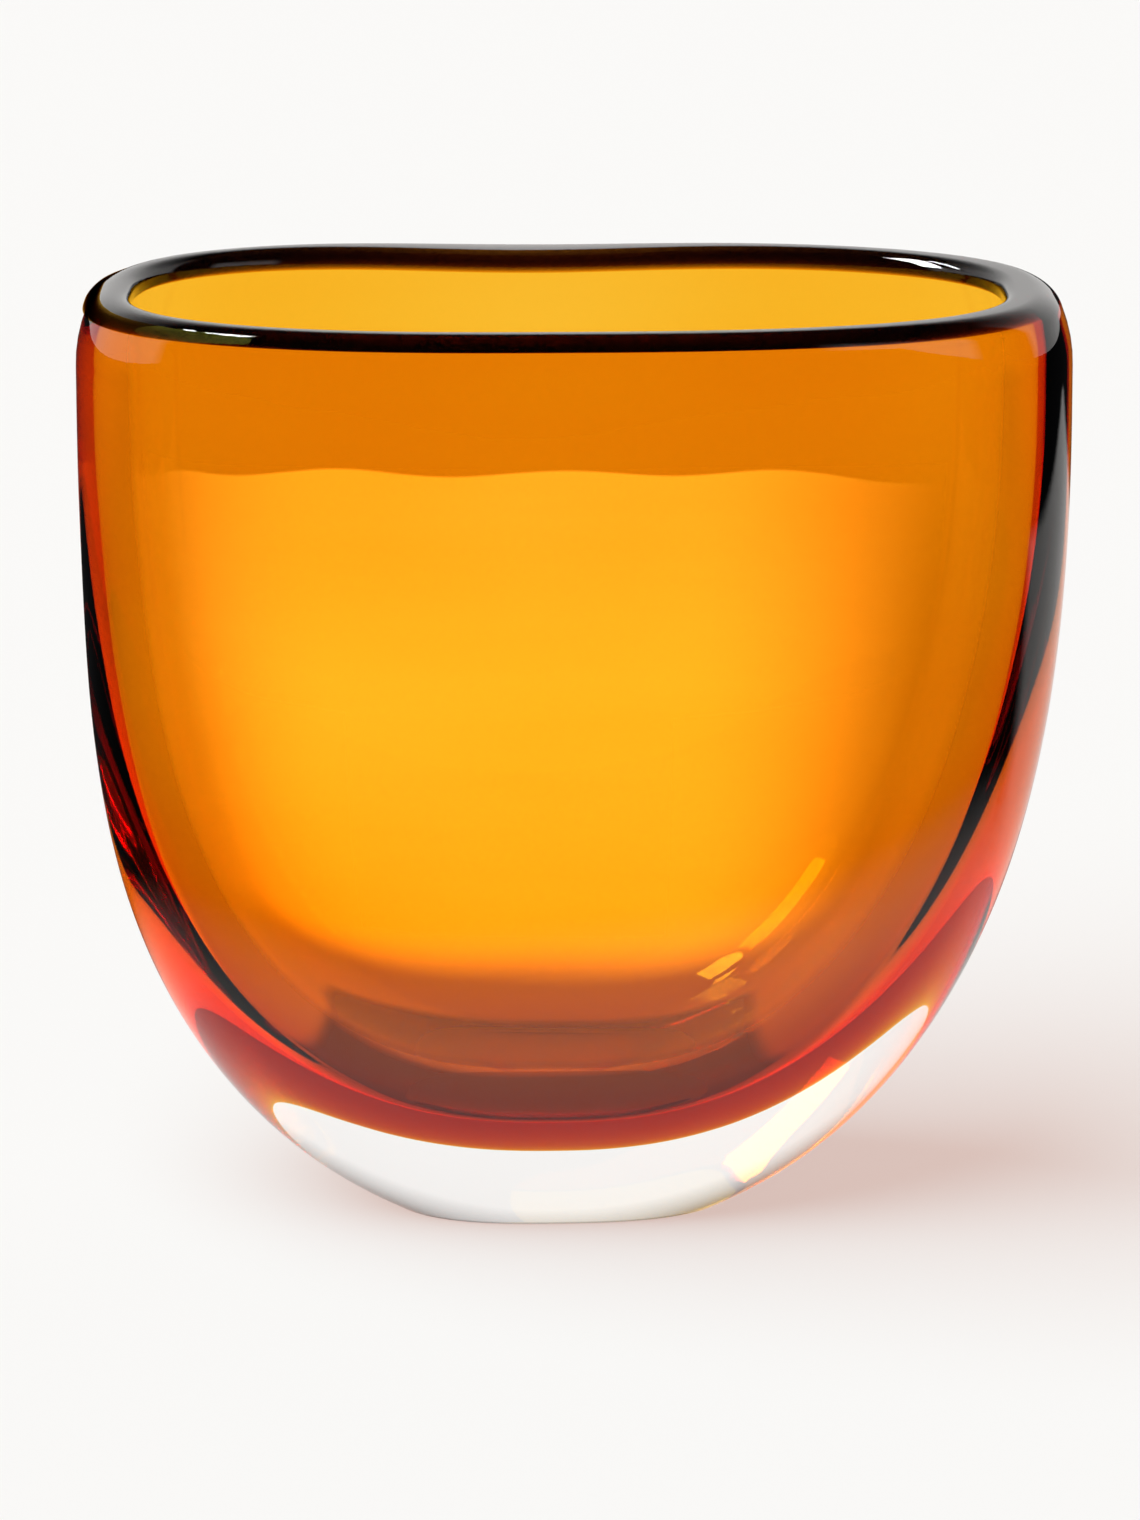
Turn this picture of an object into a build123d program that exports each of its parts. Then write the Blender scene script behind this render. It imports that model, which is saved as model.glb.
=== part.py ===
from build123d import *
import math
import os

# A mouth-blown, flattened-oval bowl of two fused bodies of glass: an amber cup cased in clear glass.
# Millimetres. +Z is up, +X runs along the long side and +Y towards the wall that is drawn in at its middle.
# The origin is on the surface that the foot stands on, under the middle of the bowl's outer box.

# Overall size
WIDTH = 250.0
DEPTH = 132.0
HEIGHT = 234.0

# Ground foot, as half sizes of its oval
FOOT_HALF_WIDTH = 45.0
FOOT_HALF_DEPTH = 38.0

# Walls
SHOULDER_HEIGHT = 216.0  # where the bowl is widest
RIM_NARROWING = 0.04  # share of the width lost between the shoulder and the rim
END_CLEAR = 10.0  # clear glass at the narrow ends, at the shoulder
SIDE_CLEAR = 4.5  # clear glass on the long sides, at the shoulder
AMBER_END = 3.0  # amber glass at the narrow ends, at the shoulder
AMBER_SIDE = 4.0  # amber glass on the long sides, at the shoulder
BASE_CLEAR = 20.4  # clear glass under the cup
AMBER_FLOOR = 7.0  # amber glass under the hollow
LIP_HEIGHT = 5.0  # the fire-polished round of the lip
LIP_CLEAR = 1.5  # clear glass over the amber's edge, inside the lip
LIP_FLAT = 1.0  # half width of the narrow crown of the lip

# Shape of the oval and of its uprights
PLAN_POWER = 2.72  # 2 is an ellipse, and more is squarer
END_UPRIGHT_POWER = 3.14
SIDE_UPRIGHT_POWER = 4.4
CUP_UPRIGHT_POWER = 2.5
CUP_FLOOR_POWER = 2.45

# What the blower's hand left uneven
LEAN = 3.9  # how far the foot stands to the left of the rim
LEAN_START = 30.0
LEAN_RUN = 150.0
SKEW = 0.054  # the left half is deeper than the right by this share, each way
CUP_SHIFT_TOP = -1.75  # the cup sits left of the casing's middle, a little more so lower down
CUP_SHIFT_FLOOR = -2.4
WAIST_CENTRE = -15.0  # the back wall is drawn in here, towards its rim
WAIST_REACH = 48.0
WAIST_START = 80.0
CASING_WAIST = 0.10
CUP_WAIST = 0.19

SECTION_POINTS = 32
FLOOR_SECTIONS = 9
WALL_SECTIONS = 9
LIP_SECTIONS = 5
FLOOR_SHARE = 0.3  # share of the height that the floor's sections take
CUP_FLAT = 0.6  # the cup's surfaces start as a small flat this far over their lowest point


def smooth_step(value, start, end):
    """0 below start, 1 above end, and an S curve between."""
    share = min(max((value - start) / (end - start), 0.0), 1.0)
    return share * share * (3.0 - 2.0 * share)


def lean_at(z):
    """Middle of the casing's oval at a height."""
    share = min(max((z - LEAN_START) / LEAN_RUN, 0.0), 1.0)
    return -LEAN * 0.5 * (1.0 + math.cos(math.pi * share))


def cup_middle(z):
    """Middle of the cup's oval at a height."""
    share = smooth_step(z, BASE_CLEAR, SHOULDER_HEIGHT)
    return lean_at(z) + CUP_SHIFT_FLOOR + (CUP_SHIFT_TOP - CUP_SHIFT_FLOOR) * share


def rim_taper(z):
    """Share of the shoulder's width that is left above it."""
    over = max(z - SHOULDER_HEIGHT, 0.0) / (HEIGHT - SHOULDER_HEIGHT)
    return 1.0 - RIM_NARROWING * over * over


def casing_half(z):
    """Half width and half depth of the casing before the lip's rounding."""
    drop = max(SHOULDER_HEIGHT - z, 0.0) / SHOULDER_HEIGHT
    lost_width = 1.0 - (2.0 * FOOT_HALF_WIDTH / WIDTH) ** 2
    lost_depth = 1.0 - (2.0 * FOOT_HALF_DEPTH / DEPTH) ** 2
    half_width = WIDTH / 2.0 * math.sqrt(1.0 - lost_width * drop**END_UPRIGHT_POWER)
    half_depth = DEPTH / 2.0 * math.sqrt(1.0 - lost_depth * drop**SIDE_UPRIGHT_POWER)
    return half_width * rim_taper(z), half_depth


def cup_half(z, floor, end_amber, side_amber):
    """Half width and half depth of the cup's surface that rises from the height floor."""
    drop = max(SHOULDER_HEIGHT - z, 0.0) / (SHOULDER_HEIGHT - floor)
    rise = max(1.0 - drop**CUP_UPRIGHT_POWER, 0.0) ** (1.0 / CUP_FLOOR_POWER)
    half_width = (WIDTH / 2.0 - END_CLEAR - end_amber) * rise
    half_depth = (DEPTH / 2.0 - SIDE_CLEAR - side_amber) * rise
    return half_width * rim_taper(z), half_depth


def liner_half(z):
    """Half sizes of the face where the amber glass meets the clear."""
    return cup_half(z, BASE_CLEAR, 0.0, 0.0)


def hollow_half(z):
    """Half sizes of the hollow before the lip's rounding."""
    return cup_half(z, BASE_CLEAR + AMBER_FLOOR, AMBER_END, AMBER_SIDE)


def oval(z, half_width, half_depth, middle, waist):
    """A face in the shape of the bowl's oval at a height."""
    pull = waist * smooth_step(z, WAIST_START, SHOULDER_HEIGHT)
    points = []
    for step in range(SECTION_POINTS):
        turn = 2.0 * math.pi * step / SECTION_POINTS
        across, along = math.cos(turn), math.sin(turn)
        reach = (abs(across) ** PLAN_POWER + abs(along) ** PLAN_POWER) ** (-1.0 / PLAN_POWER)
        x = middle + half_width * across * reach
        y = half_depth * along * reach * (1.0 - SKEW * across)
        if along > 0.0:
            y *= 1.0 - pull * along * math.exp(-(((x - WAIST_CENTRE) / WAIST_REACH) ** 2))
        points.append((x, y, z))
    return Face(Wire([Edge.make_spline([Vector(*point) for point in points], periodic=True)]))


def lip_round(z):
    """How much of the lip's half thickness is rounded off at a height, 0 to 1."""
    over = min(max(z - (HEIGHT - LIP_HEIGHT), 0.0) / LIP_HEIGHT, 1.0)
    return 1.0 - math.sqrt(1.0 - over * over)


def lip_inset(z):
    """How far the lip's faces turn in at a height, along X and along Y."""
    outer = casing_half(z)
    inner = hollow_half(z)
    return [lip_round(z) * ((outer[i] - inner[i]) / 2.0 - LIP_FLAT) for i in (0, 1)]


def casing_section(z):
    """The casing's outer oval."""
    inset = lip_inset(z)
    half_width, half_depth = casing_half(z)
    return oval(z, half_width - inset[0], half_depth - inset[1], lean_at(z), CASING_WAIST)


def hollow_section(z):
    """The hollow's oval, which opens out over the lip."""
    inset = lip_inset(z)
    half_width, half_depth = hollow_half(z)
    return oval(z, half_width + inset[0], half_depth + inset[1], cup_middle(z), CUP_WAIST)


def liner_section(z):
    """The oval where the amber glass meets the clear."""
    half_width, half_depth = liner_half(z)
    return oval(z, half_width, half_depth, cup_middle(z), CUP_WAIST)


def heights(low, lip_start):
    """Section heights, close together near the floor, where the uprights turn fastest."""
    floor_part = FLOOR_SHARE * (lip_start - low)
    wall_low = low + floor_part
    wall_step = (lip_start - wall_low) / WALL_SECTIONS
    floor_levels = [low + floor_part * (step / FLOOR_SECTIONS) ** 2 for step in range(FLOOR_SECTIONS)]
    wall_levels = [wall_low + wall_step * step for step in range(WALL_SECTIONS + 1)]
    return floor_levels + wall_levels


def lip_heights():
    """Section heights over the round of the lip, close together at its crown."""
    quarter = math.pi / 2.0
    return [
        HEIGHT - LIP_HEIGHT * (1.0 - math.sin(quarter * step / LIP_SECTIONS))
        for step in range(1, LIP_SECTIONS + 1)
    ]


def body(section, levels):
    """A solid lofted through a section function at the given heights."""
    return Solid.make_loft([section(z).outer_wire() for z in levels])


lip_start = HEIGHT - LIP_HEIGHT
liner_floor = BASE_CLEAR + CUP_FLAT
hollow_floor = BASE_CLEAR + AMBER_FLOOR + CUP_FLAT

outer = body(casing_section, heights(0.0, lip_start) + lip_heights())
hollow = body(hollow_section, heights(hollow_floor, lip_start) + lip_heights())
liner_blank = body(liner_section, heights(liner_floor, lip_start) + [HEIGHT - LIP_CLEAR])

clear_casing = outer - liner_blank - hollow
amber_liner = liner_blank - hollow

middle = outer.bounding_box().center()
to_origin = Location((-middle.X, -middle.Y, 0.0))

os.makedirs("parts", exist_ok=True)
for name, shape in (("clear_casing", clear_casing), ("amber_liner", amber_liner)):
    placed = to_origin * shape
    solid = placed.solids()[0]
    solid.label = name
    export_step(solid, f"parts/{name}.step")
    print(name, len(placed.solids()), "solid", round(solid.volume / 1000.0, 1), "cm3")
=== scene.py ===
"""Looks of a mouth-blown oval bowl: an amber cup cased in clear glass, on a pale studio floor.

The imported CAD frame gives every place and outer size. The glass is swept here as smooth meshes on the
same rule as the CAD solids, because glass shows every facet.
"""

from __future__ import annotations

import logging
import math
from dataclasses import dataclass
from enum import Enum
from typing import Union

import bpy
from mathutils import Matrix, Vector

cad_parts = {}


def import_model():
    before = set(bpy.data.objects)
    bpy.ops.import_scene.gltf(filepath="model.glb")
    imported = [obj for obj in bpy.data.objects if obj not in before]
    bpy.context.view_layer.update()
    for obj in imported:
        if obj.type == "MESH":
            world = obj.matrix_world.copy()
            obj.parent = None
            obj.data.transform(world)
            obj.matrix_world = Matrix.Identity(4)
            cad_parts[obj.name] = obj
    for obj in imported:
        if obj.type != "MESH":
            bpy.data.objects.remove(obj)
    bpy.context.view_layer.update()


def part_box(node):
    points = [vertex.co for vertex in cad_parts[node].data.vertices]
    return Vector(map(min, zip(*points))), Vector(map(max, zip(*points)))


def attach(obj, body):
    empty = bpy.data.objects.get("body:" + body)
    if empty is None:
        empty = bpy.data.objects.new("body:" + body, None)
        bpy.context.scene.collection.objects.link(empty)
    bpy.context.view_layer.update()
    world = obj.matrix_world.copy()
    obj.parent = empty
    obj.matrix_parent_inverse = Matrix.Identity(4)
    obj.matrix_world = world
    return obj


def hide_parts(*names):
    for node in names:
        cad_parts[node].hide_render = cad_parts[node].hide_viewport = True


LOG = logging.getLogger("bowl")
MM = 0.001

Number = Union[float, "Wire"]
Colour = tuple[float, float, float]
Point = tuple[float, float, float]

QUARTER_TURN = math.pi / 2.0
FULL_TURN = 2.0 * math.pi
RULE_DEPTH = 132.0 * MM  # before the drawn-in wall and the skew take their share of it
LIP_SHADE_TAKEN = (650.0, 850.0, 1050.0)  # light taken per metre in the lip's ring: painted shade, for the dark room that the round lip bends and mirrors


class Wire:
    """A number inside a node tree, on which ordinary arithmetic adds math nodes."""

    def __init__(self, tree: bpy.types.NodeTree, socket: bpy.types.NodeSocket) -> None:
        """Wraps an output socket of the tree."""
        self.tree = tree
        self.socket = socket

    def join(self, operation: str, *others: Number) -> Wire:
        """Adds one math node that takes this number first.

        Args:
            operation: Blender's name for the sum, such as "POWER".
            others: The sum's further numbers, each a wire or a plain number.

        Returns:
            The math node's result.
        """
        node = self.tree.nodes.new("ShaderNodeMath")
        node.operation = operation
        for slot, value in zip(node.inputs, (self, *others)):
            if isinstance(value, Wire):
                self.tree.links.new(value.socket, slot)
            else:
                slot.default_value = value
        return Wire(self.tree, node.outputs[0])

    def __add__(self, other: Number) -> Wire:
        """Sum."""
        return self.join("ADD", other)

    def __sub__(self, other: Number) -> Wire:
        """Difference."""
        return self.join("SUBTRACT", other)

    def __mul__(self, other: Number) -> Wire:
        """Product."""
        return self.join("MULTIPLY", other)

    def __truediv__(self, other: Number) -> Wire:
        """Quotient."""
        return self.join("DIVIDE", other)

    def __pow__(self, other: Number) -> Wire:
        """Power."""
        return self.join("POWER", other)

    def __neg__(self) -> Wire:
        """The same number with its sign turned."""
        return self.join("MULTIPLY", -1.0)

    def flip(self) -> Wire:
        """One less this number."""
        return -self + 1.0

    def share(self) -> Wire:
        """The same number, kept from 0 to 1."""
        return self.join("MAXIMUM", 0.0).join("MINIMUM", 1.0)

    def soft_share(self) -> Wire:
        """An S curve from 0 to 1 as this number goes from 0 to 1."""
        kept = self.share()
        return kept * kept * (-(kept * 2.0) + 3.0)

    def colour(self, first: Colour, second: Colour) -> bpy.types.NodeSocket:
        """Adds a mix of two colours.

        Args:
            first: The colour where this number is 0.
            second: The colour where it is 1.

        Returns:
            The mixed colour's socket.
        """
        mix = self.tree.nodes.new("ShaderNodeMix")
        mix.data_type = "RGBA"
        mix.inputs["A"].default_value = (*first, 1.0)
        mix.inputs["B"].default_value = (*second, 1.0)
        self.tree.links.new(self.socket, mix.inputs["Factor"])
        return mix.outputs["Result"]


def smooth_step(value: float, start: float, end: float) -> float:
    """Blends from 0 to 1 between two places.

    Args:
        value: Where to read the blend.
        start: Where it leaves 0.
        end: Where it reaches 1.

    Returns:
        The blend, with level ends.
    """
    share = min(max((value - start) / (end - start), 0.0), 1.0)
    return share * share * (3.0 - 2.0 * share)


def quarter_round(count: int) -> list[tuple[float, float]]:
    """Steps up a quarter of a circle, as shares of its height and of its turning in."""
    turns = [QUARTER_TURN * step / count for step in range(count + 1)]
    return [(math.sin(turn), 1.0 - math.cos(turn)) for turn in turns]


def place_parts(tree: bpy.types.NodeTree, kind: str) -> list[Wire]:
    """Adds a place's X, Y and Z to a tree.

    Args:
        tree: The tree of a material, a world or a shader group.
        kind: The texture coordinate to read, "Object" or "Generated".

    Returns:
        Three wires.
    """
    where = tree.nodes.new("ShaderNodeTexCoord")
    parts = tree.nodes.new("ShaderNodeSeparateXYZ")
    tree.links.new(where.outputs[kind], parts.inputs[0])
    return [Wire(tree, part) for part in parts.outputs]


def joined_place(tree: bpy.types.NodeTree, *parts: Wire) -> bpy.types.NodeSocket:
    """Adds a place to a tree, from its X, Y and Z."""
    node = tree.nodes.new("ShaderNodeCombineXYZ")
    for part, slot in zip(parts, node.inputs):
        tree.links.new(part.socket, slot)
    return node.outputs[0]


@dataclass(frozen=True)
class Ring:
    """One level of a glass skin, as the sweep reads it. Metres, or shares where said."""

    half_width: float
    half_depth: float
    height: float
    middle: float
    pull: float = 0.0  # share by which the back wall is drawn in
    hand: float = 0.0  # share of the blower's unevenness
    swell: float = 0.0  # share of the uneven thickness of the amber gather


@dataclass(frozen=True)
class BowlShape:
    """The rule of the bowl's shape, in metres, from the sizes of the CAD box and the walls."""

    width: float
    depth: float
    height: float
    foot_half_width: float = 45.0 * MM
    foot_half_depth: float = 38.0 * MM
    shoulder_drop: float = 18.0 * MM  # from the rim down to where the bowl is widest
    rim_narrowing: float = 0.04
    end_clear: float = 10.0 * MM
    side_clear: float = 4.5 * MM
    end_amber: float = 3.0 * MM
    side_amber: float = 4.0 * MM
    base_clear: float = 20.4 * MM
    amber_floor: float = 7.0 * MM
    lip_height: float = 5.0 * MM
    lip_flat: float = 1.0 * MM
    lip_clear: float = 1.5 * MM  # clear glass over the amber's edge
    plan_power: float = 2.72
    end_power: float = 3.14
    side_power: float = 4.4
    cup_power: float = 2.5
    floor_power: float = 2.45
    lean: float = 3.9 * MM
    lean_start: float = 30.0 * MM
    lean_run: float = 150.0 * MM
    skew: float = 0.054
    cup_shift_top: float = -1.75 * MM
    cup_shift_floor: float = -2.4 * MM
    waist_centre: float = -15.0 * MM
    waist_reach: float = 48.0 * MM
    waist_start: float = 80.0 * MM
    casing_waist: float = 0.10
    cup_waist: float = 0.19

    @property
    def shoulder(self) -> float:
        """Height at which the bowl is widest."""
        return self.height - self.shoulder_drop

    @property
    def lip_start(self) -> float:
        """Height at which the lip begins to round over."""
        return self.height - self.lip_height

    def lean_at(self, height: float) -> float:
        """Middle of the casing's oval at a height."""
        share = min(max((height - self.lean_start) / self.lean_run, 0.0), 1.0)
        return -self.lean * 0.5 * (1.0 + math.cos(math.pi * share))

    def cup_middle(self, height: float) -> float:
        """Middle of the cup's oval at a height."""
        share = smooth_step(height, self.base_clear, self.shoulder)
        shift = self.cup_shift_floor + (self.cup_shift_top - self.cup_shift_floor) * share
        return self.lean_at(height) + shift

    def rim_taper(self, height: float) -> float:
        """Share of the shoulder's width that is left above it."""
        over = max(height - self.shoulder, 0.0) / self.shoulder_drop
        return 1.0 - self.rim_narrowing * over * over

    def pull_at(self, height: float, waist: float) -> float:
        """Share by which the back wall is drawn in at a height."""
        return waist * smooth_step(height, self.waist_start, self.shoulder)

    def casing_half(self, height: float) -> tuple[float, float]:
        """Half width and half depth of the casing before the lip's rounding."""
        drop = max(self.shoulder - height, 0.0) / self.shoulder
        lost_width = 1.0 - (2.0 * self.foot_half_width / self.width) ** 2
        lost_depth = 1.0 - (2.0 * self.foot_half_depth / self.depth) ** 2
        half_width = self.width / 2.0 * math.sqrt(1.0 - lost_width * drop**self.end_power)
        half_depth = self.depth / 2.0 * math.sqrt(1.0 - lost_depth * drop**self.side_power)
        return half_width * self.rim_taper(height), half_depth

    def cup_half(self, height: float, floor: float, amber: tuple[float, float]) -> tuple[float, float]:
        """Half sizes of the cup's surface that rises from a floor.

        Args:
            height: Where to read them.
            floor: The surface's lowest height.
            amber: How far it lies inside the face where amber meets clear, at the ends and the sides.

        Returns:
            Half width and half depth.
        """
        drop = max(self.shoulder - height, 0.0) / (self.shoulder - floor)
        rise = max(1.0 - drop**self.cup_power, 0.0) ** (1.0 / self.floor_power)
        half_width = (self.width / 2.0 - self.end_clear - amber[0]) * rise
        half_depth = (self.depth / 2.0 - self.side_clear - amber[1]) * rise
        return half_width * self.rim_taper(height), half_depth

    def cup_levels(self, floor: float, count: int) -> list[float]:
        """Heights from a cup's floor up to the shoulder, evenly spread along its curve."""
        run = self.shoulder - floor
        return [
            floor + run * (1.0 - math.cos(QUARTER_TURN * step / count) ** (2.0 / self.cup_power))
            for step in range(count + 1)
        ]

    def liner_half(self, height: float) -> tuple[float, float]:
        """Half sizes of the face where the amber glass meets the clear."""
        return self.cup_half(height, self.base_clear, (0.0, 0.0))

    def hollow_half(self, height: float) -> tuple[float, float]:
        """Half sizes of the hollow before the lip's rounding."""
        amber = (self.end_amber, self.side_amber)
        return self.cup_half(height, self.base_clear + self.amber_floor, amber)

    def lip_round(self, height: float) -> float:
        """How much of the lip's half thickness is rounded off at a height, 0 to 1."""
        over = min(max(height - self.lip_start, 0.0) / self.lip_height, 1.0)
        return 1.0 - math.sqrt(1.0 - over * over)

    def half_lip(self, height: float) -> list[float]:
        """Half the wall's thickness along X and along Y, less the crown's flat."""
        outer = self.casing_half(height)
        inner = self.hollow_half(height)
        return [(outer[i] - inner[i]) / 2.0 - self.lip_flat for i in (0, 1)]

    def open_hollow_half(self, height: float) -> list[float]:
        """Half sizes of the hollow, which opens out over the lip's round."""
        half = self.hollow_half(height)
        inset = self.half_lip(height)
        return [half[i] + inset[i] * self.lip_round(height) for i in (0, 1)]

    def oval_point(self, ring: Ring, turn: float) -> tuple[float, float]:
        """A point of a ring's oval, by the same rule as the sweep, without the hand's unevenness."""
        across, along = math.cos(turn), math.sin(turn)
        reach = (abs(across) ** self.plan_power + abs(along) ** self.plan_power) ** (
            -1.0 / self.plan_power
        )
        x = ring.middle + ring.half_width * across * reach
        y = ring.half_depth * along * reach * (1.0 - self.skew * across)
        draw = math.exp(-(((x - self.waist_centre) / self.waist_reach) ** 2))
        return x, y * (1.0 - ring.pull * max(along, 0.0) * draw)


class OvalSweep:
    """Geometry Nodes that carry a profile of rings round the bowl's oval."""

    NOISE_DETAIL = 0.5
    NOISE_ROUGHNESS = 0.3
    SWELL_OFFSET = 1.0  # metres up the noise, so that the swell differs from the hand's unevenness
    MERGE_WITHIN = 0.002 * MM  # closes the seam and the poles
    SIZES = {
        "Segments": "Int",
        "Plan Power": "Float",
        "Skew": "Float",
        "Waist Centre": "Float",
        "Waist Reach": "Float",
        "Hand Depth": "Float",
        "Hand Scale": "Float",
        "Swell Depth": "Float",
        "Shift": "Vector",
        "Glass": "Material",
    }

    def __init__(self) -> None:
        """Builds the tree once, for every skin to share."""
        self.tree = bpy.data.node_groups.new("oval_sweep", "GeometryNodeTree")
        face = self.tree.interface
        face.new_socket("Geometry", in_out="INPUT", socket_type="NodeSocketGeometry")
        for name, kind in self.SIZES.items():
            face.new_socket(name, in_out="INPUT", socket_type=f"NodeSocket{kind}")
        face.new_socket("Geometry", in_out="OUTPUT", socket_type="NodeSocketGeometry")
        self.entry = self.tree.nodes.new("NodeGroupInput")
        self._build()

    def _size(self, name: str) -> Wire:
        """A named input of the tree."""
        return Wire(self.tree, self.entry.outputs[name])

    def _node(self, kind: str, **settings: object) -> bpy.types.Node:
        """Adds a node and sets its properties."""
        node = self.tree.nodes.new(kind)
        for name, value in settings.items():
            setattr(node, name, value)
        return node

    def _link(self, source: bpy.types.NodeSocket, target: bpy.types.NodeSocket) -> None:
        """Joins two sockets."""
        self.tree.links.new(source, target)

    def _at_ring(self, value: bpy.types.NodeSocket, kind: str, ring: Wire) -> bpy.types.NodeSocket:
        """A value of the profile's point for a ring."""
        sample = self._node("GeometryNodeSampleIndex", data_type=kind, domain="POINT")
        self._link(self.entry.outputs["Geometry"], sample.inputs["Geometry"])
        self._link(value, sample.inputs["Value"])
        self._link(ring.socket, sample.inputs["Index"])
        return sample.outputs["Value"]

    def _ring_value(self, name: str, ring: Wire) -> Wire:
        """A ring's own number, read from the profile's attribute of that name."""
        attribute = self._node("GeometryNodeInputNamedAttribute", data_type="FLOAT")
        attribute.inputs["Name"].default_value = name
        return Wire(self.tree, self._at_ring(attribute.outputs["Attribute"], "FLOAT", ring))

    def _ring_place(self, ring: Wire) -> list[Wire]:
        """A ring's half width, half depth and height, which are the profile point's place."""
        place = self._node("GeometryNodeInputPosition").outputs["Position"]
        parts = self._node("ShaderNodeSeparateXYZ")
        self._link(self._at_ring(place, "FLOAT_VECTOR", ring), parts.inputs[0])
        return [Wire(self.tree, output) for output in parts.outputs]

    def _unevenness(self, x: Wire, y: Wire, z: Wire, offset: float) -> Wire:
        """Slow, smooth noise over the glass, from 0 to 1."""
        noise = self._node("ShaderNodeTexNoise", noise_dimensions="3D")
        noise.inputs["Detail"].default_value = self.NOISE_DETAIL
        noise.inputs["Roughness"].default_value = self.NOISE_ROUGHNESS
        self._link(joined_place(self.tree, x, y, z + offset), noise.inputs["Vector"])
        self._link(self._size("Hand Scale").socket, noise.inputs["Scale"])
        return Wire(self.tree, noise.outputs[0])

    def _build(self) -> None:
        """Lays a grid of rings by segments, bends it round the oval and closes its seam and poles."""
        count = self._node("GeometryNodeAttributeDomainSize", component="MESH")
        self._link(self.entry.outputs["Geometry"], count.inputs["Geometry"])
        rings = Wire(self.tree, count.outputs["Point Count"])
        grid = self._node("GeometryNodeMeshGrid")
        self._link((self._size("Segments") + 1.0).socket, grid.inputs["Vertices X"])
        self._link(rings.socket, grid.inputs["Vertices Y"])

        flat = self._node("ShaderNodeSeparateXYZ")
        self._link(self._node("GeometryNodeInputPosition").outputs["Position"], flat.inputs[0])
        turn = (Wire(self.tree, flat.outputs[0]) + 0.5) * FULL_TURN
        ring = ((Wire(self.tree, flat.outputs[1]) + 0.5) * (rings - 1.0)).join("ROUND")

        half_width, half_depth, height = self._ring_place(ring)
        across, along = turn.join("COSINE"), turn.join("SINE")
        power = self._size("Plan Power")
        spread = across.join("ABSOLUTE") ** power + along.join("ABSOLUTE") ** power
        reach = spread ** -(power**-1.0)
        x = self._ring_value("middle", ring) + half_width * across * reach
        y = half_depth * along * reach * (across * self._size("Skew")).flip()
        from_waist = (x - self._size("Waist Centre")) / self._size("Waist Reach")
        draw = (-(from_waist * from_waist)).join("EXPONENT")
        pull = self._ring_value("pull", ring) * along.join("MAXIMUM", 0.0) * draw
        y = y * pull.flip()

        hand = self._unevenness(x, y, height, 0.0) * self._size("Hand Depth")
        swell = self._unevenness(x, y, height, self.SWELL_OFFSET) * self._size("Swell Depth")
        loss = hand * self._ring_value("hand", ring) + swell * self._ring_value("swell", ring)
        bent = joined_place(self.tree, x * loss.flip(), y * loss.flip(), height)

        place = self._node("GeometryNodeSetPosition")
        self._link(grid.outputs["Mesh"], place.inputs["Geometry"])
        self._link(bent, place.inputs["Position"])
        self._link(self._size("Shift").socket, place.inputs["Offset"])
        merge = self._node("GeometryNodeMergeByDistance")
        merge.inputs["Distance"].default_value = self.MERGE_WITHIN
        smooth = self._node("GeometryNodeSetShadeSmooth")
        dressed = self._node("GeometryNodeSetMaterial")
        self._link(self._size("Glass").socket, dressed.inputs["Material"])
        chain = (place, merge, smooth, dressed, self._node("NodeGroupOutput"))
        for source, target in zip(chain, chain[1:]):
            self._link(source.outputs["Geometry"], target.inputs["Geometry"])

    @staticmethod
    def _profile(name: str, rings: list[Ring]) -> bpy.types.Mesh:
        """A mesh of one point a ring, with the rings' other numbers as attributes."""
        mesh = bpy.data.meshes.new(name)
        places = [(ring.half_width, ring.half_depth, ring.height) for ring in rings]
        mesh.from_pydata(places, [(i, i + 1) for i in range(len(rings) - 1)], [])
        for attribute in ("middle", "pull", "hand", "swell"):
            values = mesh.attributes.new(attribute, "FLOAT", "POINT")
            values.data.foreach_set("value", [getattr(ring, attribute) for ring in rings])
        return mesh

    def make(self, name: str, rings: list[Ring], sizes: dict[str, object]) -> bpy.types.Object:
        """Sweeps a profile into a closed skin.

        Args:
            name: The new piece's name.
            rings: The profile, from pole to pole, so that the skin closes.
            sizes: A value for each of the tree's inputs, by its name.

        Returns:
            A plain mesh object at the origin, with no modifier left on it.
        """
        profile = self._profile(f"{name}_profile", rings)
        piece = bpy.data.objects.new(name, profile)
        bpy.context.scene.collection.objects.link(piece)
        modifier = piece.modifiers.new("sweep", "NODES")
        modifier.node_group = self.tree
        for item in self.tree.interface.items_tree:
            if item.name in sizes:
                modifier[item.identifier] = sizes[item.name]
        graph = bpy.context.evaluated_depsgraph_get()
        graph.update()
        mesh = bpy.data.meshes.new_from_object(
            piece.evaluated_get(graph), preserve_all_data_layers=False, depsgraph=graph
        )
        piece.modifiers.clear()
        piece.data = mesh
        mesh.name = name
        bpy.data.meshes.remove(profile)
        return piece


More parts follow.
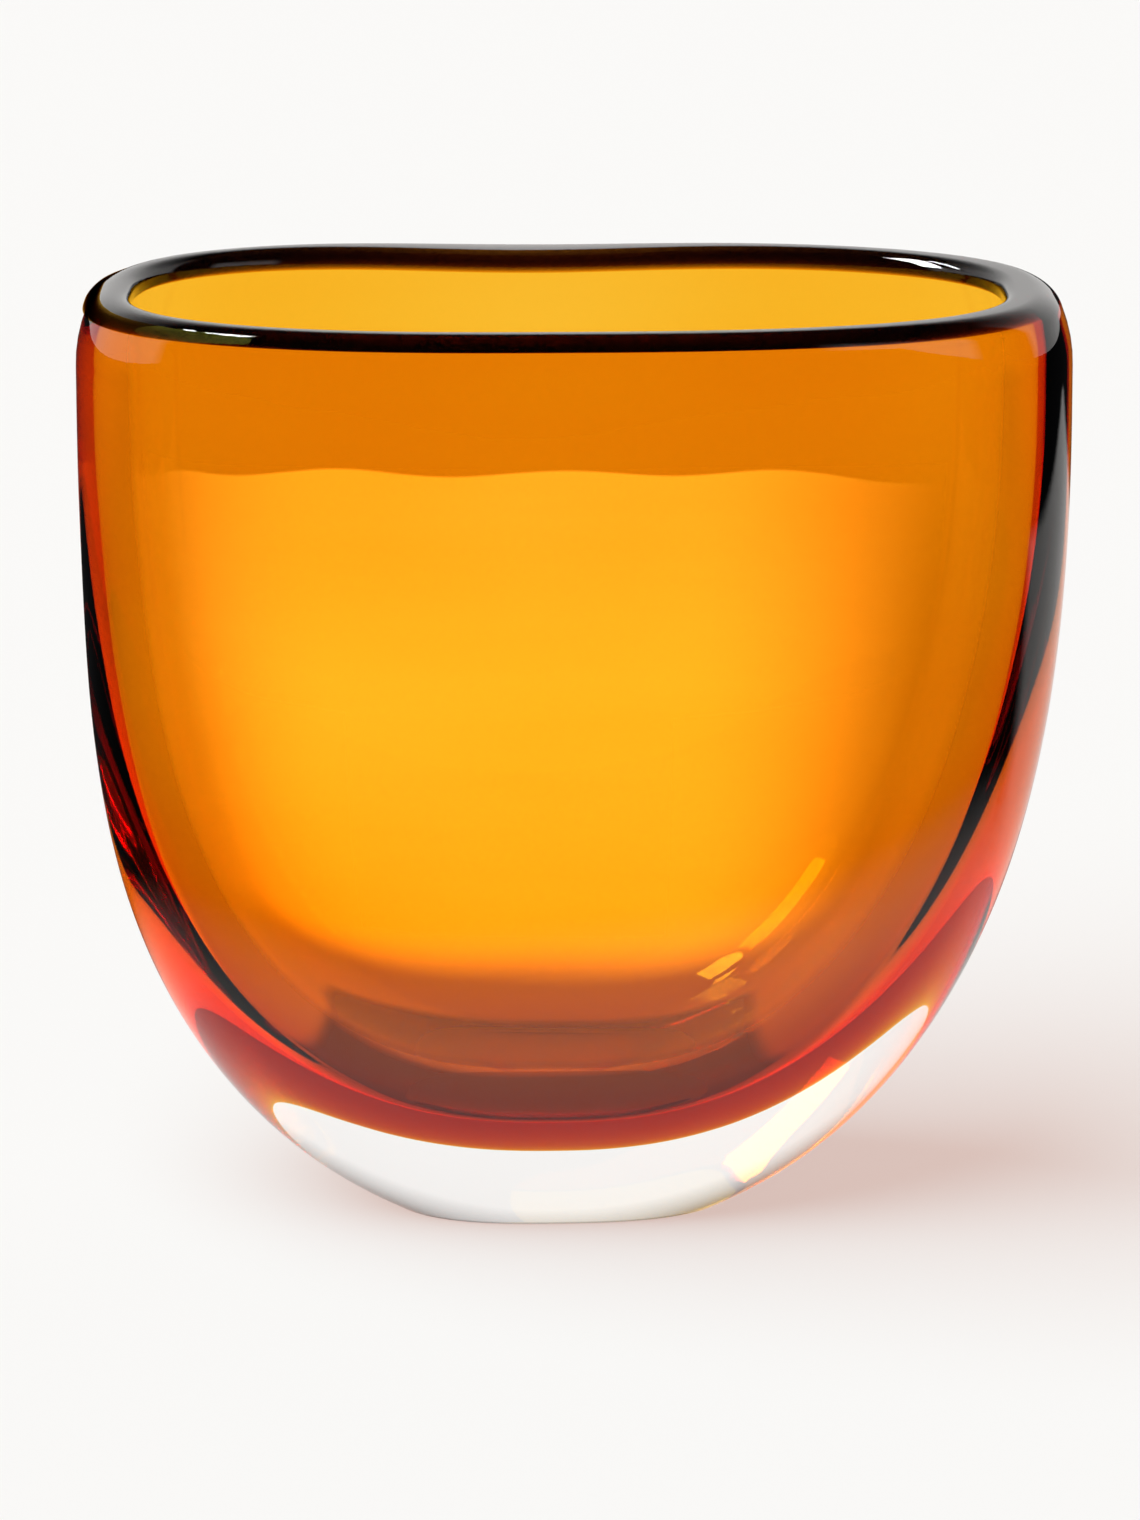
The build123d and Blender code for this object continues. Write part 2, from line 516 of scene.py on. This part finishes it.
@dataclass
class GlassPiece:
    """What the pieces of glass share: their rule and how they are swept."""

    shape: BowlShape
    sweep: OvalSweep
    shift: Vector  # from the rule's own middle to the frame's
    segments: int = 256
    hand_depth: float = 0.006  # share of the oval that the blower's unevenness takes
    hand_scale: float = 17.0
    swell_depth: float = 0.012  # the same for the uneven thickness of the gather

    def profile(self) -> list[Ring]:
        """The piece's rings, from pole to pole."""
        raise NotImplementedError

    def sizes(self, glass: bpy.types.Material) -> dict[str, object]:
        """The sweep's inputs for this piece."""
        return {
            "Segments": self.segments,
            "Plan Power": self.shape.plan_power,
            "Skew": self.shape.skew,
            "Waist Centre": self.shape.waist_centre,
            "Waist Reach": self.shape.waist_reach,
            "Hand Depth": self.hand_depth,
            "Hand Scale": self.hand_scale,
            "Swell Depth": self.swell_depth,
            "Shift": self.shift,
            "Glass": glass,
        }

    def cup_ring(self, height: float, half: list[float], swell: float = 0.0) -> Ring:
        """A ring of these half sizes round the cup's own middle, drawn in as the cup is."""
        pull = self.shape.pull_at(height, self.shape.cup_waist)
        return Ring(half[0], half[1], height, self.shape.cup_middle(height), pull, 1.0, swell)

    def swept(self, name: str, glass: bpy.types.Material) -> bpy.types.Object:
        """Sweeps the profile into a piece, which shades the floor from the sun but not from the fill."""
        piece = self.sweep.make(name, self.profile(), self.sizes(glass))
        piece.visible_diffuse = False
        return piece


@dataclass
class ClearCasing(GlassPiece):
    """The clear glass with every surface that meets the air: walls, foot, lip and hollow.

    Amber and clear glass bend light alike, so the whole bowl has one skin to the air, and the amber
    lies inside it. The skin stands for the CAD casing.
    """

    hand_full: float = 30.0 * MM  # height at which the blower's unevenness is full
    crowding: float = 0.65  # how much closer the wall's rings are near the foot
    foot_rings: int = 8
    wall_rings: int = 110
    lip_rings: int = 14
    neck_rings: int = 10
    hollow_rings: int = 90

    def _outer_ring(self, height: float, inset: float) -> Ring:
        """A ring of the outer wall, turned in by a share of half the lip's thickness."""
        shape = self.shape
        half, gap = shape.casing_half(height), shape.half_lip(height)
        wide, deep = [half[i] - inset * gap[i] for i in (0, 1)]
        pull = shape.pull_at(height, shape.casing_waist)
        hand = smooth_step(height, 0.0, self.hand_full)
        return Ring(wide, deep, height, shape.lean_at(height), pull, hand)

    def _inner_ring(self, height: float, inset: float) -> Ring:
        """A ring of the hollow, turned out by a share of half the lip's thickness."""
        half, gap = self.shape.hollow_half(height), self.shape.half_lip(height)
        return self.cup_ring(height, [half[i] + inset * gap[i] for i in (0, 1)])

    def profile(self) -> list[Ring]:
        """The rings from the foot's middle, up the wall, over the lip and down to the hollow's floor."""
        shape = self.shape
        foot = self._outer_ring(0.0, 0.0)
        wide, deep = foot.half_width / self.foot_rings, foot.half_depth / self.foot_rings
        rings = [Ring(wide * step, deep * step, 0.0, foot.middle) for step in range(self.foot_rings)]
        for step in range(self.wall_rings):
            share = step / self.wall_rings
            height = shape.lip_start * ((1.0 - self.crowding) * share + self.crowding * share * share)
            rings.append(self._outer_ring(height, 0.0))
        lip = quarter_round(self.lip_rings)
        for rise, inset in lip:
            rings.append(self._outer_ring(shape.lip_start + shape.lip_height * rise, inset))
        for rise, inset in reversed(lip):
            rings.append(self._inner_ring(shape.lip_start + shape.lip_height * rise, inset))
        neck = shape.lip_start - shape.shoulder
        for step in range(1, self.neck_rings):
            rings.append(self._inner_ring(shape.lip_start - neck * step / self.neck_rings, 0.0))
        floor = shape.base_clear + shape.amber_floor
        for height in reversed(shape.cup_levels(floor, self.hollow_rings)):
            rings.append(self._inner_ring(height, 0.0))
        return rings

    def build(self, glass: bpy.types.Material) -> bpy.types.Object:
        """Sweeps the skin and gives it its ride."""
        piece = self.swept("casing_skin", glass)
        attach(piece, "root")
        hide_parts("clear_casing")
        return piece


@dataclass
class TintedWall(GlassPiece):
    """A wall of tinted glass between two faces, closed by a rounded edge, as the amber cup and the lip's
    ring of painted shade are.
    """

    def faces(self, height: float) -> tuple[list[float], list[float]]:
        """Half sizes of the outer and of the inner face at a height."""
        raise NotImplementedError

    def swell_at(self, height: float) -> float:
        """Share of the gather's uneven thickness at a height."""
        return 0.0

    def face_ring(self, height: float, outside: bool, thinning: float = 0.0) -> Ring:
        """A ring of one face.

        Args:
            height: The ring's height.
            outside: True for the face towards the casing, False for the one towards the hollow.
            thinning: 0 for the full wall, 1 where both faces meet in the middle of it.

        Returns:
            The ring.
        """
        outer, inner = self.faces(height)
        own, other = (outer, inner) if outside else (inner, outer)
        half = [own[i] + (other[i] - own[i]) * 0.5 * thinning for i in (0, 1)]
        return self.cup_ring(height, half, self.swell_at(height) if outside else 0.0)

    def over_edge(self, side: list[tuple[float, float]]) -> list[Ring]:
        """The rings up the outside and back down the inside, from each one's height and thinning."""
        up = [self.face_ring(height, True, thinning) for height, thinning in side]
        return up + [self.face_ring(height, False, thinning) for height, thinning in reversed(side[:-1])]


@dataclass
class AmberLiner(TintedWall):
    """The amber cup, which lies inside the clear skin and only colours the light."""

    gap: float = 0.02 * MM  # between the amber and the hollow's skin
    swell_full: float = 60.0 * MM  # height at which the gather's uneven thickness is full
    edge_round: float = 1.5 * MM  # height over which the drawn edge thins out
    edge_rings: int = 8
    wall_rings: int = 90
    neck_rings: int = 16

    def faces(self, height: float) -> tuple[list[float], list[float]]:
        """Half sizes of the face in the casing and of the one at the hollow."""
        inner = [half + self.gap for half in self.shape.open_hollow_half(height + self.gap)]
        return list(self.shape.liner_half(height)), inner

    def swell_at(self, height: float) -> float:
        """Share of the gather's uneven thickness at a height."""
        return smooth_step(height, self.shape.base_clear, self.swell_full)

    def profile(self) -> list[Ring]:
        """The rings from under the cup, up its outside, over its edge and down its inside."""
        shape = self.shape
        edge_start = shape.height - shape.lip_clear - self.edge_round
        neck = edge_start - shape.shoulder
        side = [(shape.shoulder + neck * step / self.neck_rings, 0.0) for step in range(1, self.neck_rings)]
        edge = quarter_round(self.edge_rings)
        side += [(edge_start + self.edge_round * rise, thinning) for rise, thinning in edge]
        outside = shape.cup_levels(shape.base_clear, self.wall_rings)
        rings = [self.face_ring(height, True) for height in outside]
        rings += self.over_edge(side)
        inside = reversed(shape.cup_levels(shape.base_clear + shape.amber_floor, self.wall_rings))
        rings += [self.face_ring(height - self.gap, False) for height in inside]
        return rings

    def build(self, glass: bpy.types.Material) -> bpy.types.Object:
        """Sweeps the amber and gives it its ride."""
        piece = self.swept("amber_cup", glass)
        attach(piece, "root")
        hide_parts("amber_liner")
        return piece


@dataclass
class PaintedLipShade(TintedWall):
    """Painted shade in the lip: a nearly black ring of glass that stands in for the dark room that the
    round lip bends and mirrors.

    A ring that is as thick as the lip at its crown and thins out down the wall.
    """

    gap: float = 0.15 * MM  # between the edge and the hollow's skin
    skin: float = 0.5 * MM  # clear glass left over the edge, on the outside
    crown: float = 0.8 * MM  # clear glass left over the edge, on top
    reach: float = 5.6 * MM  # how far down the wall it ends
    body: float = 4.0 * MM  # height of its full part
    crown_round: float = 1.2 * MM  # height over which its top is round
    crown_rings: int = 8
    wall_rings: int = 24

    def faces(self, height: float) -> tuple[list[float], list[float]]:
        """Half sizes of the face in the lip's clear glass and of the one at the hollow."""
        shape = self.shape
        inner = [half + self.gap for half in shape.open_hollow_half(height)]
        casing, inset = shape.casing_half(height), shape.half_lip(height)
        full = [casing[i] - inset[i] * shape.lip_round(height) - self.skin for i in (0, 1)]
        share = smooth_step(height, shape.height - self.reach, shape.height - self.body)
        return [inner[i] + max(full[i] - inner[i], 0.0) * share for i in (0, 1)], inner

    def profile(self) -> list[Ring]:
        """The rings from its thin foot up the outside, over the crown and down to the foot."""
        low = self.shape.height - self.reach
        round_start = self.shape.height - self.crown - self.crown_round
        wall = round_start - low
        side = [(low + wall * step / self.wall_rings, 0.0) for step in range(1, self.wall_rings)]
        crown = quarter_round(self.crown_rings)
        side += [(round_start + self.crown_round * rise, thinning) for rise, thinning in crown]
        rings = self.over_edge(side)
        return [self.face_ring(low, True, 1.0), *rings, self.face_ring(low, False, 1.0)]

    def build(self, glass: bpy.types.Material) -> bpy.types.Object:
        """Sweeps the ring of painted shade and gives it its ride."""
        piece = self.swept("lip_shade_ring", glass)
        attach(piece, "root")
        return piece


class HandBlown:
    """A shader group for what the blower's tools leave on glass: slow waves and fine drawn striae."""

    INPUTS = {"Wave Scale": 30.0, "Wave Share": 0.8, "Striae Scale": 220.0, "Striae Stretch": 0.08}
    WAVE_DETAIL = 1.0
    STRIAE_DETAIL = 2.0

    def __init__(self) -> None:
        """Builds the group once, for every glass to share."""
        self.tree = bpy.data.node_groups.new("hand_blown", "ShaderNodeTree")
        face = self.tree.interface
        for name, value in self.INPUTS.items():
            face.new_socket(name, in_out="INPUT", socket_type="NodeSocketFloat").default_value = value
        face.new_socket("Relief", in_out="OUTPUT", socket_type="NodeSocketFloat")
        face.new_socket("Streaks", in_out="OUTPUT", socket_type="NodeSocketFloat")
        self.entry = self.tree.nodes.new("NodeGroupInput")
        self._build()

    def _noise(self, place: bpy.types.NodeSocket, scale: str, detail: float) -> Wire:
        """Noise at a place, with its scale from the group's input of that name."""
        noise = self.tree.nodes.new("ShaderNodeTexNoise")
        noise.inputs["Detail"].default_value = detail
        self.tree.links.new(place, noise.inputs["Vector"])
        self.tree.links.new(self.entry.outputs[scale], noise.inputs["Scale"])
        return Wire(self.tree, noise.outputs["Fac"])

    def _build(self) -> None:
        """Lays round, slow waves under striae that run round the bowl."""
        nodes, links = self.tree.nodes, self.tree.links
        where = nodes.new("ShaderNodeTexCoord")
        wave = self._noise(where.outputs["Object"], "Wave Scale", self.WAVE_DETAIL)
        across, along, up = place_parts(self.tree, "Object")
        stretch = Wire(self.tree, self.entry.outputs["Striae Stretch"])
        drawn = joined_place(self.tree, across * stretch, along * stretch, up)
        streak = self._noise(drawn, "Striae Scale", self.STRIAE_DETAIL)
        share = Wire(self.tree, self.entry.outputs["Wave Share"])
        end = nodes.new("NodeGroupOutput")
        links.new((wave * share + streak * share.flip()).socket, end.inputs["Relief"])
        links.new(streak.socket, end.inputs["Streaks"])

    def place(self, tree: bpy.types.NodeTree, **values: float) -> bpy.types.Node:
        """Puts the group in a material.

        Args:
            tree: The material's tree.
            values: The group's inputs, with underscores for the spaces in their names.

        Returns:
            The group node.
        """
        node = tree.nodes.new("ShaderNodeGroup")
        node.node_tree = self.tree
        for name, value in values.items():
            node.inputs[name.replace("_", " ")].default_value = value
        return node


@dataclass(frozen=True)
class ClearGlass:
    """Fire-polished clear glass with a ground foot."""

    bend: float = 1.5
    relief: float = 0.06 * MM
    wave_scale: float = 26.0
    wave_share: float = 0.93  # share of the relief that is slow waves, with striae for the rest
    ground: float = 0.35  # roughness of the ground foot
    ground_height: float = 0.6 * MM  # up to where the grinding reaches
    wear: float = 0.5  # share by which the grinding varies

    def material(self, hand: HandBlown) -> bpy.types.Material:
        """Makes the material, with the blower's marks in its relief and a satin foot."""
        glass = bpy.data.materials.new("clear_glass")
        glass.use_nodes = True
        tree = glass.node_tree
        nodes, links = tree.nodes, tree.links
        shader = nodes["Principled BSDF"]
        shader.inputs["Base Color"].default_value = (1.0, 1.0, 1.0, 1.0)
        shader.inputs["IOR"].default_value = self.bend
        shader.inputs["Transmission Weight"].default_value = 1.0
        marks = hand.place(tree, Wave_Scale=self.wave_scale, Wave_Share=self.wave_share)
        bump = nodes.new("ShaderNodeBump")
        bump.inputs["Strength"].default_value = 1.0
        bump.inputs["Distance"].default_value = self.relief
        links.new(marks.outputs["Relief"], bump.inputs["Height"])
        links.new(bump.outputs["Normal"], shader.inputs["Normal"])
        height = place_parts(tree, "Object")[2]
        low = ((-height + self.ground_height) / self.ground_height).share()
        worn = Wire(tree, marks.outputs["Streaks"]) * self.wear + (1.0 - self.wear / 2.0)
        links.new((low * worn * self.ground).socket, shader.inputs["Roughness"])
        return glass


@dataclass(frozen=True)
class AbsorbingGlass:
    """Transparent tinted glass, which colours light at its faces and by how far it goes through the glass.
    It makes the amber, and with the lip's taken light the nearly black painted shade in the lip.
    """

    name: str = "amber_glass"
    taken: Colour = (22.0, 104.0, 520.0)  # light taken per metre, in red, green and blue
    tint: Colour = (0.912, 0.63, 0.125)  # what both faces of a wall let through
    drawn: Colour = (0.905, 0.60, 0.105)  # the same where the gather was drawn out
    streak_scale: float = 90.0
    streak_stretch: float = 0.12
    headroom: float = 1.02  # keeps every part of the absorption's colour above black

    def material(self, hand: HandBlown) -> bpy.types.Material:
        """Makes the material, with faint streaks where the gather was drawn out."""
        glass = bpy.data.materials.new(self.name)
        glass.use_nodes = True
        tree = glass.node_tree
        shader = tree.nodes["Principled BSDF"]
        marks = hand.place(tree, Striae_Scale=self.streak_scale, Striae_Stretch=self.streak_stretch)
        streaks = Wire(tree, marks.outputs["Streaks"])
        tree.links.new(streaks.colour(self.tint, self.drawn), shader.inputs["Base Color"])
        shader.inputs["Roughness"].default_value = 0.0
        shader.inputs["IOR"].default_value = 1.0
        shader.inputs["Transmission Weight"].default_value = 1.0
        depth = tree.nodes.new("ShaderNodeVolumeAbsorption")
        most = max(self.taken) * self.headroom
        depth.inputs["Color"].default_value = (*[1.0 - part / most for part in self.taken], 1.0)
        depth.inputs["Density"].default_value = most
        tree.links.new(depth.outputs["Volume"], tree.nodes["Material Output"].inputs["Volume"])
        return glass


class Sight(Enum):
    """By which looks the glass finds a card. The camera and the floor never do."""

    MIRRORED = "mirrored"
    BENT = "bent"


@dataclass(frozen=True)
class Card:
    """A flat card beside the bowl, bright or black."""

    RIM_FADE = 0.1  # share of the shorter side over which the card fades out

    name: str
    centre: Point
    facing: Point  # the place that the card's front looks at
    size: tuple[float, float]
    light: Colour
    sight: Sight
    past: int = 0  # how many faces of glass a look must have gone through to find the card

    def mask(self, across: Wire, up: Wire) -> Wire:
        """How much of the card there is, 0 to 1, at a place on it in metres from its centre."""
        half_wide, half_high = self.size[0] / 2.0, self.size[1] / 2.0
        soft = self.RIM_FADE * min(self.size)
        sides = (-across.join("ABSOLUTE") + half_wide) / soft
        ends = (-up.join("ABSOLUTE") + half_high) / soft
        return sides.soft_share() * ends.soft_share()

    def paint(self) -> bpy.types.Material:
        """Makes the card's own light, with its mask."""
        paint = bpy.data.materials.new(self.name)
        paint.use_nodes = True
        paint.cycles.emission_sampling = "NONE"
        tree = paint.node_tree
        nodes = tree.nodes
        nodes.remove(nodes["Principled BSDF"])
        glow = nodes.new("ShaderNodeEmission")
        glow.inputs["Color"].default_value = (*self.light, 1.0)
        across, up = place_parts(tree, "Object")[:2]
        rays = nodes.new("ShaderNodeLightPath")
        for_glass = Wire(tree, rays.outputs["Diffuse Depth"]).share().flip()
        deep = Wire(tree, rays.outputs["Transmission Depth"]).join("GREATER_THAN", self.past - 0.5)
        mix = nodes.new("ShaderNodeMixShader")
        share = (self.mask(across, up) * for_glass * deep).socket
        clear = nodes.new("ShaderNodeBsdfTransparent").outputs[0]
        for source, slot in zip((share, clear, glow.outputs[0]), mix.inputs):
            tree.links.new(source, slot)
        tree.links.new(mix.outputs[0], nodes["Material Output"].inputs["Surface"])
        return paint

    def build(self) -> bpy.types.Object:
        """Makes the card as a plane that looks at a point."""
        mesh = bpy.data.meshes.new(self.name)
        half_wide, half_high = self.size[0] / 2.0, self.size[1] / 2.0
        corners = [(-half_wide, -half_high, 0.0), (half_wide, -half_high, 0.0)]
        corners += [(half_wide, half_high, 0.0), (-half_wide, half_high, 0.0)]
        mesh.from_pydata(corners, [], [(0, 1, 2, 3)])
        mesh.materials.append(self.paint())
        card = bpy.data.objects.new(self.name, mesh)
        bpy.context.scene.collection.objects.link(card)
        card.location = self.centre
        aim = Vector(self.facing) - Vector(self.centre)
        card.rotation_euler = aim.to_track_quat("Z", "Y").to_euler()
        card.visible_camera = False
        card.visible_diffuse = False
        card.visible_shadow = False
        card.visible_volume_scatter = False
        card.visible_glossy = self.sight is not Sight.BENT
        card.visible_transmission = self.sight is not Sight.MIRRORED
        return card


@dataclass(frozen=True)
class GlowCard(Card):
    """The back light: crisp and a little wavy along its top, and faded out elsewhere."""

    top_bow: float = 7.0 * MM  # how much lower the top edge is at its ends
    top_wave: float = 0.9 * MM  # height of the top edge's waves
    wave_length: float = 60.0 * MM
    crisp: float = 0.8 * MM  # over which the top edge comes in
    fade_side: float = 90.0 * MM
    fade_bottom: float = 26.0 * MM
    fade_top: float = 70.0 * MM
    top_share: float = 0.75  # of the light that is left at the top edge

    def mask(self, across: Wire, up: Wire) -> Wire:
        """How much of the card there is at a place on it, as on the plain card."""
        half_wide, half_high = self.size[0] / 2.0, self.size[1] / 2.0
        bow = (across / half_wide) ** 2.0
        wave = (across * (FULL_TURN / self.wave_length)).join("SINE") * self.top_wave
        top = wave - bow * bow * self.top_bow + (half_high - self.top_wave)
        edge = ((top - up) / self.crisp).share()
        sides = ((-across.join("ABSOLUTE") + half_wide) / self.fade_side).soft_share()
        bottom = ((up + half_high) / self.fade_bottom).soft_share()
        upper = ((-up + half_high) / self.fade_top).soft_share() * (1.0 - self.top_share) + self.top_share
        return edge * sides * bottom * upper


@dataclass(frozen=True)
class DarkSurround(Card):
    """The dark room past the edge of the pale table, as the walls mirror it."""

    table: tuple[float, float] = (0.17, 0.13)  # half sizes of the pale table's oval
    fade: float = 1.0  # share of those sizes over which the dark comes in

    def mask(self, across: Wire, up: Wire) -> Wire:
        """How much of the card there is at a place on it, as on the plain card."""
        wide, deep = across / self.table[0], up / self.table[1]
        reach = (wide * wide + deep * deep) ** 0.5
        return ((reach - 1.0) / self.fade).soft_share()


@dataclass(frozen=True)
class Pane:
    """A bright stretch of the room, in degrees of bearing from the back, where right is positive."""

    bearing: float
    half_width: float
    top: float  # sine of the elevation at which it has faded out
    soft: float = 6.0  # degrees over which each side fades out

    def mask(self, bearing: Wire, up: Wire) -> Wire:
        """1 inside the pane and 0 outside."""
        turn = (bearing - self.bearing + 180.0).join("FLOORED_MODULO", 360.0) - 180.0
        inside = (-turn.join("ABSOLUTE") + (self.half_width + self.soft)) / self.soft
        below = (-up + self.top) / (0.5 * self.top)
        return inside.share() * below.share()


@dataclass(frozen=True)
class Studio:
    """The pale floor, the light round the bowl and the camera."""

    BOUNCES = 32  # enough for a look that goes through every wall and card
    MIRROR_BOUNCES = 12

    paper: Colour = (0.90, 0.885, 0.87)
    floor_reach: float = 14.0
    floor_sides: int = 96
    pale: Colour = (0.956, 0.939, 0.921)
    dark: Colour = (0.012, 0.012, 0.013)
    fill: Colour = (0.73, 0.52, 0.465)  # what is left in the bowl's warm shadow
    sun: float = 2.33
    sun_colour: Colour = (0.555, 0.91, 1.0)
    sun_from: Point = (-0.9, -0.35, 1.3)
    sun_angle: float = 70.0  # degrees that the sun takes up, for a soft shadow
    softbox_from: Point = (-0.72, -0.21, 0.66)
    slit_from: Point = (-0.70, 0.12, 0.70)
    softbox_distance: float = 1.3
    bowl_middle: Point = (0.0, 0.0, 0.12)
    table_gap: float = 0.3 * MM  # air under the foot, so that the floor and the foot don't coincide
    panes: tuple[Pane, ...] = (
        Pane(0.0, 75.0, 0.80),
        Pane(-90.0, 16.0, 0.45),
        Pane(135.0, 16.0, 0.45),
    )
    elevation: float = 14.5  # degrees
    distance: float = 1.829
    lens: float = 170.5  # millimetres, as is the sensor
    sensor: float = 36.0
    view_end: float = 100.0
    aim: Point = (-0.0011, -0.0015, 0.112)

    def floor(self) -> None:
        """Makes the floor, which runs past the view."""
        mesh = bpy.data.meshes.new("studio_floor")
        turns = [FULL_TURN * side / self.floor_sides for side in range(self.floor_sides)]
        reach = self.floor_reach
        rim = [(reach * math.cos(turn), reach * math.sin(turn), -self.table_gap) for turn in turns]
        mesh.from_pydata(rim, [], [tuple(range(self.floor_sides))])
        paper = bpy.data.materials.new("pale_paper")
        paper.use_nodes = True
        shader = paper.node_tree.nodes["Principled BSDF"]
        shader.inputs["Base Color"].default_value = (*self.paper, 1.0)
        shader.inputs["Roughness"].default_value = 1.0
        shader.inputs["Specular IOR Level"].default_value = 0.0
        mesh.materials.append(paper)
        floor = bpy.data.objects.new("studio_floor", mesh)
        bpy.context.scene.collection.objects.link(floor)

    def key(self) -> None:
        """A broad, soft sun from the left, which the floor sees, and the glass by what it bends."""
        lamp = bpy.data.lights.new("key", "SUN")
        lamp.energy = self.sun
        lamp.angle = math.radians(self.sun_angle)
        lamp.color = self.sun_colour
        sun = bpy.data.objects.new("key", lamp)
        sun.rotation_euler = Vector(self.sun_from).to_track_quat("Z", "Y").to_euler()
        sun.visible_glossy = False
        bpy.context.scene.collection.objects.link(sun)

    def surroundings(self) -> None:
        """The room: bright panes in the dark for the glass, plain for the camera, warm for the floor."""
        world = bpy.data.worlds.new("studio_room")
        bpy.context.scene.world = world
        world.use_nodes = True
        tree = world.node_tree
        nodes, links = tree.nodes, tree.links
        nodes.clear()
        across, along, up = place_parts(tree, "Generated")
        bearing = across.join("ARCTAN2", along) * (180.0 / math.pi)
        lit = None
        for pane in self.panes:
            mask = pane.mask(bearing, up)
            lit = mask if lit is None else lit.join("MAXIMUM", mask)
        seen, plain, fill = [nodes.new("ShaderNodeBackground") for _ in range(3)]
        links.new(lit.colour(self.dark, self.pale), seen.inputs["Color"])
        plain.inputs["Color"].default_value = (*self.pale, 1.0)
        fill.inputs["Color"].default_value = (*self.fill, 1.0)
        rays = nodes.new("ShaderNodeLightPath")
        for_floor = Wire(tree, rays.outputs["Diffuse Depth"]).share().socket
        light = seen
        for share, other in ((for_floor, fill), (rays.outputs["Is Camera Ray"], plain)):
            mix = nodes.new("ShaderNodeMixShader")
            for source, slot in zip((share, light.outputs[0], other.outputs[0]), mix.inputs):
                links.new(source, slot)
            light = mix
        links.new(light.outputs[0], nodes.new("ShaderNodeOutputWorld").inputs["Surface"])

    def hung(self, bearing: Point) -> Point:
        """The place of a softbox that hangs in a direction from the bowl."""
        return tuple(Vector(bearing).normalized() * self.softbox_distance + Vector(self.bowl_middle))

    def cards(self) -> list[Card]:
        """The bright and black cards round the bowl."""
        middle, box, slit = self.bowl_middle, self.hung(self.softbox_from), self.hung(self.slit_from)
        glow, glow_front, white = (-0.018, 0.076, 0.086), (-0.018, 0.0, 0.086), (45.0, 45.0, 45.0)
        grey, shade = (0.80, 0.78, 0.76), (0.28, 0.26, 0.25)
        room, up = (0.05, 0.0, 0.0008), (0.05, 0.0, 1.0)
        bent, mirrored = Sight.BENT, Sight.MIRRORED
        return [
            GlowCard("back_light", glow, glow_front, (0.27, 0.172), (2.7, 3.15, 55.0), bent, 5),
            Card("side_table", (0.50, 0.42, 0.0012), (0.50, 0.42, 1.0), (0.74, 0.80), grey, mirrored),
            Card("far_table", (0.0, 3.35, 0.0009), (0.0, 3.35, 1.0), (6.0, 6.0), (1.15, 1.13, 1.11), bent),
            Card("foot_shade", (-0.01, 0.005, -0.00015), (-0.01, 0.005, 1.0), (0.16, 0.09), shade, bent, 4),
            DarkSurround("dark_surround", room, up, (27.0, 27.0), self.dark, mirrored),
            Card("softbox", box, middle, (0.36, 0.90), white, mirrored),
            # The same softbox as it shows through both walls, which only a bent look finds.
            Card("softbox_through", box, middle, (0.36, 0.90), (100.0, 100.0, 100.0), bent, 7),
            Card("softbox_side", slit, middle, (0.12, 0.60), white, mirrored),
        ]

    def camera(self) -> None:
        """Stands the camera at the bowl's front, looking a little down."""
        lens = bpy.data.cameras.new("camera")
        lens.lens = self.lens
        lens.sensor_width = self.sensor
        lens.clip_end = self.view_end
        camera = bpy.data.objects.new("camera", lens)
        bpy.context.scene.collection.objects.link(camera)
        tilt = math.radians(self.elevation)
        back = Vector((0.0, -math.cos(tilt), math.sin(tilt)))
        camera.location = Vector(self.aim) + back * self.distance
        camera.rotation_euler = back.to_track_quat("Z", "Y").to_euler()
        bpy.context.scene.camera = camera

    def build(self) -> None:
        """Sets the whole studio."""
        self.floor()
        self.key()
        self.surroundings()
        for card in self.cards():
            card.build()
        self.camera()
        scene = bpy.context.scene
        scene.view_settings.view_transform = "Standard"
        scene.cycles.max_bounces = self.BOUNCES
        scene.cycles.transmission_bounces = self.BOUNCES
        scene.cycles.glossy_bounces = self.MIRROR_BOUNCES
        scene.cycles.transparent_max_bounces = self.BOUNCES


def centre_shift(shape: BowlShape, casing: ClearCasing) -> Vector:
    """How far the rule's own middle lies from the middle of the CAD casing's box.

    Args:
        shape: The rule.
        casing: The clear casing, whose rings are sampled.

    Returns:
        The shift that brings the two together.
    """
    around, ring_step = 360, 3
    turns = [FULL_TURN * step / around for step in range(around)]
    rings = casing.profile()[::ring_step]
    points = [shape.oval_point(ring, turn) for ring in rings for turn in turns]
    low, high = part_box("clear_casing")
    xs, ys = zip(*points)
    middle_x = (min(xs) + max(xs)) / 2.0
    middle_y = (min(ys) + max(ys)) / 2.0
    return Vector(((low.x + high.x) / 2.0 - middle_x, (low.y + high.y) / 2.0 - middle_y, low.z))


def main() -> None:
    """Builds the pieces in order, sets the studio and reports."""
    logging.basicConfig(level=logging.INFO, format="%(name)s: %(message)s")
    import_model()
    low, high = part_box("clear_casing")
    shape = BowlShape(width=high.x - low.x, depth=RULE_DEPTH, height=high.z - low.z)
    sweep = OvalSweep()
    casing = ClearCasing(shape, sweep, Vector((0.0, 0.0, 0.0)))
    shift = centre_shift(shape, casing)
    casing.shift = shift
    hand = HandBlown()
    skin = casing.build(ClearGlass().material(hand))
    cup = AmberLiner(shape, sweep, shift).build(AbsorbingGlass().material(hand))
    # The lip's nearly black ring is painted shade, for the dark room that the round lip bends and mirrors.
    lip_shade_paint = AbsorbingGlass("painted_lip_shade", LIP_SHADE_TAKEN)
    edge = PaintedLipShade(shape, sweep, shift).build(lip_shade_paint.material(hand))
    for piece in (skin, cup, edge):
        LOG.info("%s: %d faces", piece.name, len(piece.data.polygons))
    Studio().build()


if __name__ == "__main__":
    main()
